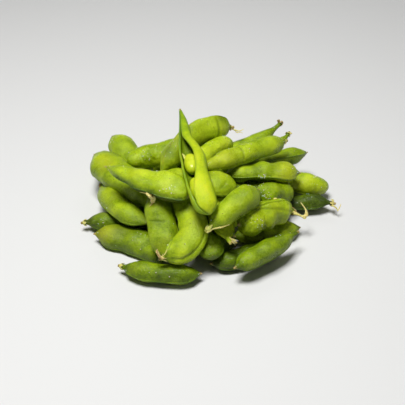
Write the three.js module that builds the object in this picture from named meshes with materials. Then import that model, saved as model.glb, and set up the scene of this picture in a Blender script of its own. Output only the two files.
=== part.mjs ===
// A loose bundle of boiled edamame pods heaped on a flat surface, one pod split open over its beans.
//
// Frame: millimetres, +Z up, the surface at z = 0, the origin under the middle of the heap.
// Each pod is one solid, lofted along its own curved centreline from the cut stalk to the beak.
// The table below lays the pods out by hand; settle() then lets each one down on those beneath it.
import * as THREE from "three";

// ---- Driving dimensions, mm ----
const THICKNESS = 10.8; // of a grown pod across its beans; its width across the seams is in the table
const STALK_RADIUS = 1.2;
const NIB_RADIUS = 0.7; // the point beyond the beak
const WAIST = 0.18; // how far a pod thins between two beans, as a share of its thickness
const CLEARANCE = 0.4; // kept between neighbours
const SHELL_WALL = 1.1; // of the split pod
const BEAN = { length: 12.6, width: 8.6, thickness: 7.4 };

// ---- Shares of a pod's length ----
const STALK_SHARE = 0.06; // before the body starts
const NIB_SHARE = 0.035; // after it ends
const NECK_SHARE = 0.3; // over which the body widens from the stalk
const BEAK_SHARE = 0.28; // over which it closes to the nib

// ---- Mesh fineness ----
const STATIONS = [0.015, 0.058, 0.09, 0.15, 0.24, 0.34, 0.44, 0.54, 0.64, 0.74, 0.83, 0.9, 0.945, 0.985];
const RING_POINTS = 12;
const CORE_RING_POINTS = 8;
const LIP_POINTS = 10; // along each face of the split pod's wall, lip to lip
const BEAN_RINGS = 6;

// ---- The heap ----
// How a pod's ends close. A bluntness of 0.5 rounds an end off like an egg, 1 draws it out.
const ROUND_NECK = { neck: 0.15, neckBluntness: 0.5 };
const NO_STALK = { ...ROUND_NECK, stalk: 0.01 };
const LONG_NECK = { neck: 0.5 };
const ROUND_BEAK = { beak: 0.2, beakBluntness: 0.5 };
const LATE_BEAK = { beak: 0.22 };
const LONG_BEAK = { beak: 0.7, beakBluntness: 0.75 };

// stem, belly and tip are where the two ends and the middle of the centreline lie before the heap
// settles. turn rolls the seams about the pod's length, in degrees: at 0 both lie at one level.
// beans is the number of seeds that swell the pod.
const pod = (name, stem, belly, tip, turn, width, beans, ends = {}) =>
  ({ name, stem, belly, tip, turn, width, beans, ...ends });

const OUTER_PODS = [
  pod("base_pod_1", [-10, -20, 7], [-38, -6, 7], [-59, -2, 7], -30, 15, 3),
  pod("base_pod_2", [-67, 10, 6], [-50, 9, 6], [-24, 2, 6], 20, 12, 2),
  pod("base_pod_3", [-44, -28, 6], [-22, -33, 6], [0, -32, 6], 10, 12, 2),
  pod("base_pod_4", [-5, 8, 15], [2, -16, 10], [5, -31, 8], 0, 15, 2, ROUND_BEAK),
  pod("base_pod_5", [46, -9, 6], [24, -22, 6], [4, -27, 6], -20, 12, 3),
  pod("base_pod_6", [76, 23, 7], [58, 25, 8], [30, 20, 8], -10, 10.5, 2, { thickness: 9 }),
  pod("base_pod_7", [28, 42, 15], [56, 36, 12], [73, 37, 7], 35, 13, 2),

  pod("lower_pod_1", [-57, 38, 15], [-43.5, 10, 13], [-24, -6, 11], 20, 13, 2, { neck: 0.4 }),
  pod("lower_pod_2", [50, -8, 11], [35, -20, 10], [14, -34, 8], -30, 11, 3, LONG_NECK),
  pod("lower_pod_3", [22, -21, 16], [12, -9, 22], [-2, 12, 29], 0, 14, 2, { neck: 0.4 }),
  pod("lower_pod_4", [49, 3, 16], [32, -4, 20], [14, -14, 20.5], 82, 16, 3, { ...ROUND_BEAK, thickness: 13 }),
  pod("lower_pod_5", [29, 8, 24], [41, 18, 18], [49, 30, 10], 40, 13, 2, { neck: 0.2, neckBluntness: 0.5 }),
  pod("lower_pod_6", [-29, 36, 11], [-46, 63, 14], [-57, 79, 15], -20, 15.5, 2, ROUND_BEAK),
  pod("lower_pod_7", [54, 73, 22], [41, 61, 20], [13, 49, 17], 0, 12, 2, LONG_NECK),
  pod("lower_pod_8", [20, 38, 18], [48, 52, 18], [63, 61, 18], -30, 13, 2),

  pod("upper_pod_1", [-25, -6, 16], [-46, 27, 20], [-64, 59, 19], -25, 16, 3, ROUND_BEAK),
  pod("upper_pod_2", [-18, 5, 31], [-16, -13, 21], [-17, -32, 10], 10, 15, 2, { neck: 0.4 }),
  pod("upper_pod_3", [-23, -32, 9], [-8, -19, 19], [-22, 3, 31], 0, 15, 3, { neckBluntness: 0.5 }),
  pod("upper_pod_4", [2, 46, 33], [-28, 42, 27], [-43, 39, 24], -40, 14, 2),
  pod("upper_pod_5", [48, 75, 29], [26, 55, 23], [0, 49, 18], -30, 12, 2, { neck: 0.6, neckBluntness: 1.1 }),
  pod("upper_pod_6", [7, 23, 30], [33, 25, 26.5], [55, 27, 18], -25, 13.5, 3),
  pod("upper_pod_7", [-28, 13, 32], [0, 6, 32], [18, 9, 29], 20, 14, 2, ROUND_BEAK),
  pod("upper_pod_8", [-6, 6, 34], [6, 30, 34], [17, 48, 30], 30, 11, 2, { ...ROUND_BEAK, thickness: 10 }),

  pod("top_pod_1", [-3, -9, 37.5], [-26, 1.2, 36], [-49.5, 20.5, 30], -50, 14.5, 3, { ...NO_STALK, ...LONG_BEAK }),
  pod("top_pod_2", [1, -28, 28], [15, -17, 33.5], [29.5, -3, 35], 35, 14, 2, { neck: 0.6, ...LATE_BEAK }),
  pod("top_pod_3", [49, 47, 34], [24, 28, 37], [1, 12, 38], -45, 11, 3, { ...ROUND_NECK, thickness: 9 }),
  pod("top_pod_4", [19.5, 57.5, 34.5], [-6, 42, 38], [-24, 18.5, 28.5], -75, 16.5, 3, { ...ROUND_NECK, thickness: 13 }),
];

// Pods buried inside the heap, which carry the others.
const CORE_PODS = [
  pod("core_pod_01", [-56, 36, 6], [-38, 37, 6], [-14, 40, 6], 0, 13, 3),
  pod("core_pod_02", [-66, 66, 6], [-44, 60, 6], [-20, 62, 6], 15, 13, 2),
  pod("core_pod_03", [-22, 76, 6], [2, 72, 6], [26, 76, 6], -20, 13, 3),
  pod("core_pod_04", [53, 63, 6], [33, 66, 6], [10, 60, 6], 10, 13, 2),
  pod("core_pod_05", [24, 44, 6], [48, 44, 6], [66, 50, 6], -15, 13, 2),
  pod("core_pod_06", [-24, 50, 6], [0, 48, 6], [22, 46, 6], 0, 13, 3),
  pod("core_pod_07", [-46, 22, 6], [-22, 20, 6], [2, 26, 6], 0, 13, 3),
  pod("core_pod_08", [4, 36, 6], [24, 32, 6], [46, 32, 6], 0, 13, 2),
  pod("core_pod_09", [-22, 0, 6], [0, 6, 6], [24, 8, 6], 0, 13, 3),
  pod("core_pod_10", [16, -10, 6], [36, -5, 6], [56, 0, 6], 10, 13, 2),
  pod("core_pod_11", [-32, 56, 17], [-8, 60, 17], [14, 66, 17], -25, 13, 3),
  pod("core_pod_12", [-38, 44, 17], [-22, 30, 17], [-8, 12, 17], 0, 13, 3),
  pod("core_pod_13", [-10, 42, 17], [6, 36, 17], [22, 22, 17], 0, 13, 2),
  pod("core_pod_14", [-26, 4, 16], [-8, 0, 17], [12, 2, 17], 0, 13, 2),
  pod("core_pod_15", [18, 16, 17], [30, 8, 14], [52, 14, 13], 0, 13, 2),
  pod("core_pod_16", [-20, 38, 27], [0, 30, 27], [16, 20, 27], 0, 13, 2),
  pod("core_pod_17", [-22, 10, 26], [-4, 14, 26], [14, 10, 24], 0, 13, 2),
  pod("core_pod_18", [4, 52, 24], [20, 46, 25], [40, 44, 24], 0, 13, 2),
  pod("core_pod_19", [-24, -10, 6], [-6, -10, 6], [16, -12, 6], 0, 12, 2),
  pod("core_pod_20", [4, 24, 22], [22, 20, 20], [40, 24, 18], 0, 11, 2, { thickness: 9 }),
];

const SPLIT_POD = pod("split_pod", [3, -27.5, 35.5], [-4.5, 1, 46.5], [-12.5, 52, 53], 0, 15, 2, {
  thickness: 13,
  stalk: 0.005,
  neck: 0.2,
  neckBluntness: 0.5,
  beak: 0.7,
  beakBluntness: 1.15,
  seeds: { pitch: 0.2, at: [0.19, 0.415] },
});

// ---- A pod's shape ----
// 0 at the very end of a pod's body and 1 once it has filled out.
const roundOff = (share, bluntness) => (1 - (1 - THREE.MathUtils.clamp(share, 0, 1)) ** 2) ** bluntness;

// Share of the full width at station u, from the stalk (0) to the nib (1).
function outline(u, pod) {
  const stalk = pod.stalk ?? STALK_SHARE;
  const body = (u - stalk) / (1 - stalk - NIB_SHARE);
  const neck = roundOff(body / (pod.neck ?? NECK_SHARE), pod.neckBluntness ?? 0.8);
  const beak = roundOff((1 - body) / (pod.beak ?? BEAK_SHARE), pod.beakBluntness ?? 0.6);
  return neck * beak;
}

// Where a pod's beans lie along it, and how far apart: evenly, unless the table says otherwise.
function seedsOf(pod) {
  const [first, last] = [0.12, 0.94];
  const pitch = (last - first) / pod.beans;
  return pod.seeds ?? { pitch, at: Array.from({ length: pod.beans }, (_, k) => first + pitch * (k + 0.5)) };
}

// 1 at the middle of each bean and 0 between two of them.
function swelling(u, pod) {
  const { pitch, at } = seedsOf(pod);
  const nearest = Math.min(...at.map((seed) => Math.abs(u - seed)));
  return Math.cos(Math.PI * Math.min(nearest / pitch, 0.5)) ** 2;
}

const endRadius = (u) => (u < 0.5 ? STALK_RADIUS : NIB_RADIUS);

function halfThickness(u, pod) {
  const full = (pod.thickness ?? THICKNESS) / 2;
  const waist = 1 - WAIST * (1 - swelling(u, pod));
  return Math.max(full * outline(u, pod) * waist, endRadius(u));
}

function halfWidth(u, pod) {
  const waist = 1 - 0.3 * WAIST * (1 - swelling(u, pod));
  return Math.max((pod.width / 2) * outline(u, pod) * waist, endRadius(u));
}

// The centreline as a curve through stem, belly and tip, about the belly as its own origin.
function centreline(pod) {
  const [stem, belly, tip] = [pod.stem, pod.belly, pod.tip].map((p) => new THREE.Vector3(...p));
  const control = belly.clone().multiplyScalar(2).addScaledVector(stem, -0.5).addScaledVector(tip, -0.5);
  return new THREE.QuadraticBezierCurve3(stem.sub(belly), control.sub(belly), tip.sub(belly));
}

// The point and the two cross directions at station u: across the seams, and across the beans.
function section(curve, u, pod) {
  const along = curve.getTangentAt(u);
  const middle = curve.getTangentAt(0.5);
  const level = new THREE.Vector3(0, 0, 1).cross(middle).normalize();
  const across = level.applyAxisAngle(middle, THREE.MathUtils.degToRad(pod.turn));
  across.addScaledVector(along, -across.dot(along)).normalize();
  return { at: curve.getPointAt(u), across, through: along.clone().cross(across) };
}

// ---- Lofting ----
// Closes rings of points, all of one length, into a solid with a pole at each end.
function loft(first, rings, last) {
  const n = rings[0].length;
  const points = [first, ...rings.flat(), last];
  const id = (ring, k) => 1 + ring * n + (k % n);
  const end = points.length - 1;
  const faces = [];
  for (let k = 0; k < n; k++) {
    faces.push(0, id(0, k + 1), id(0, k));
    faces.push(end, id(rings.length - 1, k), id(rings.length - 1, k + 1));
    for (let r = 0; r < rings.length - 1; r++) {
      faces.push(id(r, k), id(r, k + 1), id(r + 1, k + 1));
      faces.push(id(r, k), id(r + 1, k + 1), id(r + 1, k));
    }
  }
  const geometry = new THREE.BufferGeometry().setFromPoints(points);
  geometry.setIndex(faces);
  geometry.computeVertexNormals();
  return geometry;
}

function wholeRing(curve, u, pod, ringPoints) {
  const { at, across, through } = section(curve, u, pod);
  across.multiplyScalar(halfWidth(u, pod));
  through.multiplyScalar(halfThickness(u, pod));
  return Array.from({ length: ringPoints }, (_, k) => {
    const turn = (2 * Math.PI * k) / ringPoints;
    return at.clone().addScaledVector(across, Math.cos(turn)).addScaledVector(through, Math.sin(turn));
  });
}

function podGeometry(pod, ringPoints) {
  const curve = centreline(pod);
  const rings = STATIONS.map((u) => wholeRing(curve, u, pod, ringPoints));
  return loft(curve.getPointAt(0), rings, curve.getPointAt(1));
}

// ---- The split pod ----
// Its wall is a trough, open along one seam over the beans and closed towards both ends. Angles run
// about the centreline, from straight up (0) to the left of a pod that points away (90).
const SLIT = { from: 0.04, to: 1, fixedLip: 95, widest: 105 };

function slitWidth(u) {
  const share = THREE.MathUtils.clamp((u - SLIT.from) / (SLIT.to - SLIT.from), 0, 1);
  return Math.max(SLIT.widest * Math.sin(Math.PI * share) ** 0.7, 2);
}

function splitRing(curve, u, pod) {
  const { at, across, through } = section(curve, u, pod);
  const [a, b] = [halfWidth(u, pod), halfThickness(u, pod)];
  const wall = Math.min(SHELL_WALL, 0.45 * b);
  const point = (angle, inset) =>
    at.clone()
      .addScaledVector(across, (a - inset) * Math.sin(angle))
      .addScaledVector(through, (b - inset) * Math.cos(angle));
  const angles = Array.from({ length: LIP_POINTS }, (_, k) =>
    THREE.MathUtils.degToRad(SLIT.fixedLip + ((360 - slitWidth(u)) * k) / (LIP_POINTS - 1)),
  );
  const outer = angles.map((angle) => point(angle, 0));
  const inner = angles.map((angle) => point(angle, wall)).reverse();
  return [...outer, ...inner].reverse();
}

function splitGeometry(pod) {
  const curve = centreline(pod);
  const rings = STATIONS.map((u) => splitRing(curve, u, pod));
  return loft(curve.getPointAt(0), rings, curve.getPointAt(1));
}

function beanGeometry() {
  const rings = Array.from({ length: BEAN_RINGS }, (_, r) => {
    const polar = (Math.PI * (r + 1)) / (BEAN_RINGS + 1);
    return Array.from({ length: RING_POINTS }, (_, k) => {
      const turn = (2 * Math.PI * k) / RING_POINTS;
      return new THREE.Vector3(
        (-BEAN.length / 2) * Math.cos(polar),
        (BEAN.width / 2) * Math.sin(polar) * Math.cos(turn),
        (BEAN.thickness / 2) * Math.sin(polar) * Math.sin(turn),
      );
    });
  });
  return loft(new THREE.Vector3(-BEAN.length / 2, 0, 0), rings, new THREE.Vector3(BEAN.length / 2, 0, 0));
}

// ---- Settling ----
// Each pod is laid where the table says, eased clear of its neighbours, then let down on them.
const EASE = { held: 60, free: 90, rounds: 4, hold: 0.16, coreHold: 0.03 };
const WEIGHT = { outer: 1, core: 0.3, split: 3 }; // how hard a pod is to push aside
const DROP = { step: 0.1, most: 12, passes: 2, slack: 0.02 };

// A pod collides as balls strung along its centreline, with a row near each seam where it is wide.
function ballsOf(pod) {
  const curve = centreline(pod);
  const length = curve.getLength();
  const balls = [];
  for (let u = 0; u <= 1; ) {
    const { at, across } = section(curve, u, pod);
    const [a, b] = [halfWidth(u, pod), halfThickness(u, pod)];
    balls.push({ home: at, radius: b + CLEARANCE / 2 });
    const aside = 0.86 * (a - 0.8 * b);
    if (aside > 0.6)
      for (const side of [-aside, aside])
        balls.push({ home: at.clone().addScaledVector(across, side), radius: 0.86 * b + CLEARANCE / 2 });
    u += (0.5 * b) / length;
  }
  return balls;
}

function bodyOf(pod, kind) {
  const balls = ballsOf(pod);
  const mass = balls.reduce((sum, ball) => sum + ball.radius ** 2, 0);
  const middle = new THREE.Vector3();
  for (const ball of balls) {
    ball.share = ball.radius ** 2 / mass;
    ball.now = new THREE.Vector3();
    middle.addScaledVector(ball.home, ball.share);
  }
  balls.forEach((ball) => ball.home.sub(middle));
  const reach = Math.max(...balls.map((ball) => ball.home.length() + ball.radius));
  const place = new THREE.Vector3(...pod.belly).add(middle);
  return { pod, kind, balls, middle, reach, place, laid: place.clone(), spin: new THREE.Quaternion() };
}

function spreadBalls(body) {
  for (const ball of body.balls) ball.now.copy(ball.home).applyQuaternion(body.spin).add(body.place);
}

const near = (a, b) => a.place.distanceTo(b.place) < a.reach + b.reach;

function pushApart(a, b) {
  if (!near(a, b)) return;
  const give = WEIGHT[b.kind] / (WEIGHT[a.kind] + WEIGHT[b.kind]);
  const apart = new THREE.Vector3();
  for (const p of a.balls)
    for (const q of b.balls) {
      apart.subVectors(q.now, p.now);
      const distance = apart.length();
      const bite = p.radius + q.radius - distance;
      if (bite <= 0 || distance === 0) continue;
      p.now.addScaledVector(apart, (-bite * give) / distance);
      q.now.addScaledVector(apart, (bite * (1 - give)) / distance);
    }
}

// The rigid place and spin that fit a pod's pushed balls best.
function regainForm(body) {
  body.place.set(0, 0, 0);
  for (const ball of body.balls) body.place.addScaledVector(ball.now, ball.share);
  for (let round = 0; round < 3; round++) {
    const turn = new THREE.Vector3();
    let inertia = 0;
    for (const ball of body.balls) {
      const arm = ball.home.clone().applyQuaternion(body.spin);
      inertia += ball.share * arm.lengthSq();
      turn.addScaledVector(arm.cross(ball.now.clone().sub(body.place)), ball.share);
    }
    const angle = turn.length() / inertia;
    if (angle > 1e-7) body.spin.premultiply(new THREE.Quaternion().setFromAxisAngle(turn.normalize(), angle));
  }
  spreadBalls(body);
}

function easeApart(bodies) {
  const level = new THREE.Quaternion();
  for (let step = 0; step < EASE.held + EASE.free; step++) {
    const held = step < EASE.held;
    for (const body of bodies) {
      const hold = body.kind === "core" ? EASE.coreHold : EASE.hold;
      if (held) body.place.lerp(body.laid, hold);
      if (held) body.spin.slerp(level, hold);
      spreadBalls(body);
    }
    for (let round = 0; round < EASE.rounds; round++) {
      bodies.forEach((a, i) => bodies.slice(i + 1).forEach((b) => pushApart(a, b)));
      for (const body of bodies) {
        for (const ball of body.balls) ball.now.z = Math.max(ball.now.z, ball.radius);
        regainForm(body);
      }
    }
  }
}

const bites = (p, q) => p.now.distanceTo(q.now) < p.radius + q.radius - DROP.slack;
const touching = (a, b) => near(a, b) && a.balls.some((p) => b.balls.some((q) => bites(p, q)));
const buried = (body) => body.balls.some((ball) => ball.now.z < ball.radius - DROP.slack);
const lowest = (body) => Math.min(...body.balls.map((ball) => ball.now.z));

function lift(body, height) {
  body.place.z += height;
  spreadBalls(body);
}

function letDown(bodies) {
  for (const body of [...bodies].sort((a, b) => lowest(a) - lowest(b))) {
    const carried = () => buried(body) || bodies.some((other) => other !== body && touching(body, other));
    let fallen = 0;
    while (fallen < DROP.most && !carried()) {
      lift(body, -DROP.step);
      fallen += DROP.step;
    }
    if (fallen > 0) lift(body, DROP.step);
  }
}

function settle(bodies) {
  easeApart(bodies);
  for (let pass = 0; pass < DROP.passes; pass++) letDown(bodies);
  return bodies;
}

// ---- The model ----
const COLOUR = { pod: 0x8fae2c, split: 0xb7d23a, bean: 0xc4d838 };

function solid(name, geometry, colour, roughness) {
  const material = new THREE.MeshStandardMaterial({ color: colour, roughness, metalness: 0 });
  const mesh = new THREE.Mesh(geometry, material);
  mesh.name = name;
  return mesh;
}

function beansIn(pod) {
  const curve = centreline(pod);
  return pod.seeds.at.map((u, k) => {
    const bean = solid(`split_pod_bean_${k + 1}`, beanGeometry(), COLOUR.bean, 0.3);
    const { at, across, through } = section(curve, u, pod);
    const frame = new THREE.Matrix4().makeBasis(curve.getTangentAt(u), across, through);
    bean.quaternion.setFromRotationMatrix(frame);
    bean.position.copy(at);
    return bean;
  });
}

function solidsOf({ pod, kind }) {
  if (kind === "split") return [solid(pod.name, splitGeometry(pod), COLOUR.split, 0.45), ...beansIn(pod)];
  const ringPoints = kind === "core" ? CORE_RING_POINTS : RING_POINTS;
  return [solid(pod.name, podGeometry(pod, ringPoints), COLOUR.pod, 0.5)];
}

function placed(body) {
  const group = new THREE.Group();
  group.add(...solidsOf(body));
  group.quaternion.copy(body.spin);
  group.position.copy(body.middle).negate().applyQuaternion(body.spin).add(body.place);
  return group;
}

const bodies = settle([
  ...OUTER_PODS.map((pod) => bodyOf(pod, "outer")),
  ...CORE_PODS.map((pod) => bodyOf(pod, "core")),
  bodyOf(SPLIT_POD, "split"),
]);
const bundle = new THREE.Group();
bundle.add(...bodies.map(placed));
bundle.updateMatrixWorld(true);
const box = new THREE.Box3().setFromObject(bundle, true);
const centre = box.getCenter(new THREE.Vector3());
bundle.position.set(-centre.x, -centre.y, -box.min.z);

export default bundle;
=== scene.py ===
"""A heap of boiled edamame pods, one of them split open over its beans.

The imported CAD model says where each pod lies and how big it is. The skins, seams, calyxes, stalks,
shell and beans are modelled over it, in the same frame. Lengths are in millimetres until a mesh is made.
"""

import itertools
import math

import bpy
import numpy as np
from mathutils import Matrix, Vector


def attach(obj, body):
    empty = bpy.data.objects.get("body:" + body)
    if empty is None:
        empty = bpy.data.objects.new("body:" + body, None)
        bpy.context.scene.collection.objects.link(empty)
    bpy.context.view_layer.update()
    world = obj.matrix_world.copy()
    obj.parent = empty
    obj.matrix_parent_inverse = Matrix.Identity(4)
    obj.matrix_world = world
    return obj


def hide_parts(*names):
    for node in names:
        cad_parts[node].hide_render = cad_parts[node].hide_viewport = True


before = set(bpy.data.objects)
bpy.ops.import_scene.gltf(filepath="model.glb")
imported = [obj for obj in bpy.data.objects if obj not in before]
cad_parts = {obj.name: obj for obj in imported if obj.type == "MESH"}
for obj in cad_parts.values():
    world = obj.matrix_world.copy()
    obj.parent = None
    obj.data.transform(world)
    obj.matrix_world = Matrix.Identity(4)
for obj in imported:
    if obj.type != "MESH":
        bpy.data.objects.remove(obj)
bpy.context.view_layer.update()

MM = 0.001
BODY = "root"

# ---- The camera and the room ----
TARGET = (-3.5, -19.5, 25.0)
ELEVATION = math.radians(37)
DISTANCE = 392.0
LENS = 65.5
SENSOR = 36.0
NEAR_CLIP = 0.01
FLOOR_SIZE = 2400.0
FLOOR_COLOUR = (0.68, 0.68, 0.67, 1)
FLOOR_ROUGHNESS = 0.7
WORLD_LIGHT = 0.045
LAMP_TARGET = (0, 0, 0.02)
# Each soft box: its name, its place and its size in metres, and its power in watts.
LAMPS = (
    ("key", (-0.12, -0.12, 0.79), 0.28, 7.9),
    ("fill", (0.45, -0.5, 0.6), 0.5, 0.2),
    ("back", (0.15, 0.55, 0.6), 0.35, 0.45),
)


def point_at(thing, target):
    """Turns a camera or a light to look at the target."""
    thing.rotation_euler = (Vector(target) - thing.location).to_track_quat("-Z", "Y").to_euler()


def add_object(name, data):
    thing = bpy.data.objects.new(name, data)
    bpy.context.collection.objects.link(thing)
    return thing


def add_camera():
    """The camera, at the photograph's viewing angle."""
    data = bpy.data.cameras.new("camera")
    data.lens = LENS
    data.sensor_width = SENSOR
    data.clip_start = NEAR_CLIP
    camera = add_object("camera", data)
    target = Vector(TARGET) * MM
    away = Vector((0, -math.cos(ELEVATION), math.sin(ELEVATION)))
    camera.location = target + away * DISTANCE * MM
    point_at(camera, target)
    bpy.context.scene.camera = camera


def add_lamp(name, place, size, watts):
    """A square soft box that looks at the heap."""
    data = bpy.data.lights.new(name, "AREA")
    data.size = size
    data.energy = watts
    lamp = add_object(name, data)
    lamp.location = place
    point_at(lamp, LAMP_TARGET)


def add_floor():
    half = FLOOR_SIZE / 2 * MM
    corners = [(-half, -half, 0), (half, -half, 0), (half, half, 0), (-half, half, 0)]
    mesh = bpy.data.meshes.new("floor")
    mesh.from_pydata(corners, [], [(0, 1, 2, 3)])
    floor = add_object("floor", mesh)
    material = bpy.data.materials.new("floor")
    material.use_nodes = True
    shader = material.node_tree.nodes["Principled BSDF"]
    shader.inputs["Base Color"].default_value = FLOOR_COLOUR
    shader.inputs["Roughness"].default_value = FLOOR_ROUGHNESS
    mesh.materials.append(material)


def add_studio():
    """The floor, the soft boxes and a weak even light from all round."""
    world = bpy.data.worlds.new("studio")
    world.use_nodes = True
    background = world.node_tree.nodes["Background"]
    background.inputs["Color"].default_value = (1, 1, 1, 1)
    background.inputs["Strength"].default_value = WORLD_LIGHT
    bpy.context.scene.world = world
    bpy.context.scene.view_settings.view_transform = "Standard"
    for name, place, size, watts in LAMPS:
        add_lamp(name, place, size, watts)
    add_floor()


# ---- Numbers on curves and surfaces ----
# Places along a pod, as shares of its length from the stalk end, where its centreline's values are kept.
FINE_STEPS = 400
FINE = np.linspace(0, 1, FINE_STEPS + 1)
# The large primes that scatter the noise's values.
LATTICE_PRIMES = (73856093, 19349663, 83492791)
SEED_PRIME = 2654435761
MIXING_PRIME = 1274126177


def smooth_step(low, high, x):
    t = np.clip((x - low) / (high - low), 0, 1)
    return t * t * (3 - 2 * t)


def fading(distance, reach):
    """1 at no distance, and fading smoothly to 0 at about twice the reach."""
    return np.exp(-((distance / reach) ** 2))


def curve_through(x, y, at):
    """The smooth curve through the points (x, y), read at the places in at."""
    slope = np.gradient(y, x, axis=0)
    i = np.clip(np.searchsorted(x, at) - 1, 0, len(x) - 2)
    gap = x[i + 1] - x[i]
    t = (at - x[i]) / gap
    if y.ndim == 2:
        gap, t = gap[:, None], t[:, None]
    return (
        (2 * t**3 - 3 * t**2 + 1) * y[i]
        + (t**3 - 2 * t**2 + t) * gap * slope[i]
        + (3 * t**2 - 2 * t**3) * y[i + 1]
        + (t**3 - t**2) * gap * slope[i + 1]
    )


def read(values, u):
    """Numbers or vectors that are kept at the places in FINE, read at the places in u."""
    if values.ndim == 1:
        return np.interp(u, FINE, values)
    return np.stack([np.interp(u, FINE, column) for column in values.T], axis=1)


def wrapped(angle):
    """The same angle, from -pi to pi."""
    return (angle + math.pi) % (2 * math.pi) - math.pi


def ring_angles(n):
    return np.arange(n) * 2 * math.pi / n


def unit(vectors):
    return vectors / np.maximum(np.linalg.norm(vectors, axis=-1, keepdims=True), 1e-9)


def noise(points, seed=0):
    """Smooth value noise from -1 to 1, on a lattice one unit wide."""
    cell = np.floor(points).astype(np.int64)
    part = points - cell
    part = part**3 * (part * (part * 6 - 15) + 10)
    total = np.zeros(len(points))
    for corner in itertools.product((0, 1), repeat=3):
        x, y, z = ((cell + corner) * LATTICE_PRIMES).T
        mixed = x ^ y ^ z ^ (seed * SEED_PRIME)
        mixed = (mixed ^ (mixed >> 13)) * MIXING_PRIME & 0x7FFFFFFF
        mixed = (mixed ^ (mixed >> 16)) & 0xFFFF
        weight = np.prod(np.where(corner, part, 1 - part), axis=1)
        total += weight * (mixed / 32767.5 - 1)
    return total


def layered(points, octaves, seed=0):
    """Noise with finer, weaker layers on top."""
    return sum(noise(points * 2**k + 17.3 * k, seed + k) * 0.5**k for k in range(octaves))


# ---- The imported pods' centrelines ----
# A packed pod is a pole at each end and rings of corners between them, at these shares of its length.
RING_PLACES = np.array(
    [0.015, 0.058, 0.09, 0.15, 0.24, 0.34, 0.44, 0.54, 0.64, 0.74, 0.83, 0.9, 0.945, 0.985]
)
PLACES = np.concatenate([[0.0], RING_PLACES, [1.0]])
WIDEST_RING = 7


def corners_of(node):
    """A CAD node's corners in mm, and the neighbours of each."""
    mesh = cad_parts[node].data
    flat = np.empty(len(mesh.vertices) * 3)
    mesh.vertices.foreach_get("co", flat)
    points = flat.reshape(-1, 3) / MM
    _, first, same = np.unique(np.round(points, 3), axis=0, return_index=True, return_inverse=True)
    same = same.reshape(-1)
    neighbours = [set() for _ in first]
    for edge in mesh.edges:
        a, b = same[edge.vertices[0]], same[edge.vertices[1]]
        if a != b:
            neighbours[a].add(b)
            neighbours[b].add(a)
    return points[first], neighbours


def poles_of(neighbours, most):
    """The corners that have more neighbours than the most that a ring's corner has."""
    return [i for i, near in enumerate(neighbours) if len(near) > most]


def rings_of(node):
    """The two poles and the rings between them, stalk end first."""
    corners, neighbours = corners_of(node)
    start, end = poles_of(neighbours, 6)
    seen, rings, front = {start}, [], {start}
    while True:
        front = set().union(*(neighbours[i] for i in front)) - seen
        if front == {end}:
            break
        seen |= front
        rings.append(corners[sorted(front)])
    girth = [np.ptp(rings[i], axis=0).max() for i in (0, -1)]
    if girth[0] < girth[1]:
        rings.reverse()
        start, end = end, start
    return corners[start], rings, corners[end]


class Line:
    """A pod's centreline, with the direction and reach across its seams and through its beans."""

    def __init__(self, node):
        first, rings, last = rings_of(node)
        middles = np.array([first, *(ring.mean(axis=0) for ring in rings), last])
        self.centre = curve_through(PLACES, middles, FINE)
        self.along = unit(np.gradient(self.centre, FINE, axis=0))
        steps = np.linalg.norm(np.diff(self.centre, axis=0), axis=1)
        self.length = steps.sum()
        widest = rings[WIDEST_RING] - middles[WIDEST_RING + 1]
        axis = widest[np.argmax(np.linalg.norm(widest, axis=1))]
        if axis @ np.cross((0, 0, 1), self.along[FINE_STEPS // 2]) < 0:
            axis = -axis
        self.across = unit(axis - (self.along @ axis)[:, None] * self.along)
        self.through = np.cross(self.along, self.across)
        reach = []
        for place, middle, ring in zip(RING_PLACES, middles[1:-1], rings):
            k = int(round(place * FINE_STEPS))
            spokes = ring - middle
            reach.append((np.abs(spokes @ self.across[k]).max(), np.abs(spokes @ self.through[k]).max()))
        reach = np.array([reach[0], *reach, reach[-1]])
        self.width = curve_through(PLACES, reach[:, 0], FINE)
        self.depth = curve_through(PLACES, reach[:, 1], FINE)

    def round_tip(self, share):
        """Gives the last share of the length a round end."""
        start = int(round(FINE_STEPS * (1 - share)))
        cap = np.sqrt(np.clip(1 - ((FINE[start:] - FINE[start]) / share) ** 2, 0, 1))
        for reach in (self.width, self.depth):
            reach[start:] = np.maximum(reach[start:], reach[start] * cap)


# ---- Meshes ----
def add_piece(name, points, faces, material, smooth=True):
    """A mesh object from points in mm."""
    mesh = bpy.data.meshes.new(name)
    mesh.from_pydata((np.asarray(points) * MM).tolist(), [], faces)
    mesh.materials.append(material)
    if smooth:
        mesh.shade_smooth()
    return add_object(name, mesh)


def store(piece, **layers):
    """Keeps layers of one number or one vector per point for the material to read."""
    for name, values in layers.items():
        vector = values.ndim == 2
        kept = piece.data.attributes.new(name, "FLOAT_VECTOR" if vector else "FLOAT", "POINT")
        kept.data.foreach_set("vector" if vector else "value", values.astype(np.float32).ravel())


def tube_faces(rings, n):
    """Faces of a closed loft: a pole, rings of n points, and another pole."""
    body = np.arange(rings * n).reshape(rings, n) + 1
    after = np.roll(body, -1, axis=1)
    end = rings * n + 1
    faces = np.stack([body[:-1], after[:-1], after[1:], body[1:]], axis=-1).reshape(-1, 4).tolist()
    faces += [(0, b, a) for a, b in zip(body[0].tolist(), after[0].tolist())]
    faces += [(end, a, b) for a, b in zip(body[-1].tolist(), after[-1].tolist())]
    return faces


def place_piece(piece, node):
    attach(piece, BODY)
    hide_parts(node)


def add_loft(name, node, slot, steps, points, poles, material, **layers):
    """A closed loft of rings between two poles, which take each layer's value from the ring beside them."""
    points = np.vstack([poles[0], points, poles[1]])
    piece = add_piece(name, points, tube_faces(*steps), material)
    store(piece, **{layer: np.concatenate([v[:1], v, v[-1:]]) for layer, v in layers.items()})
    place_piece(piece, node)


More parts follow.
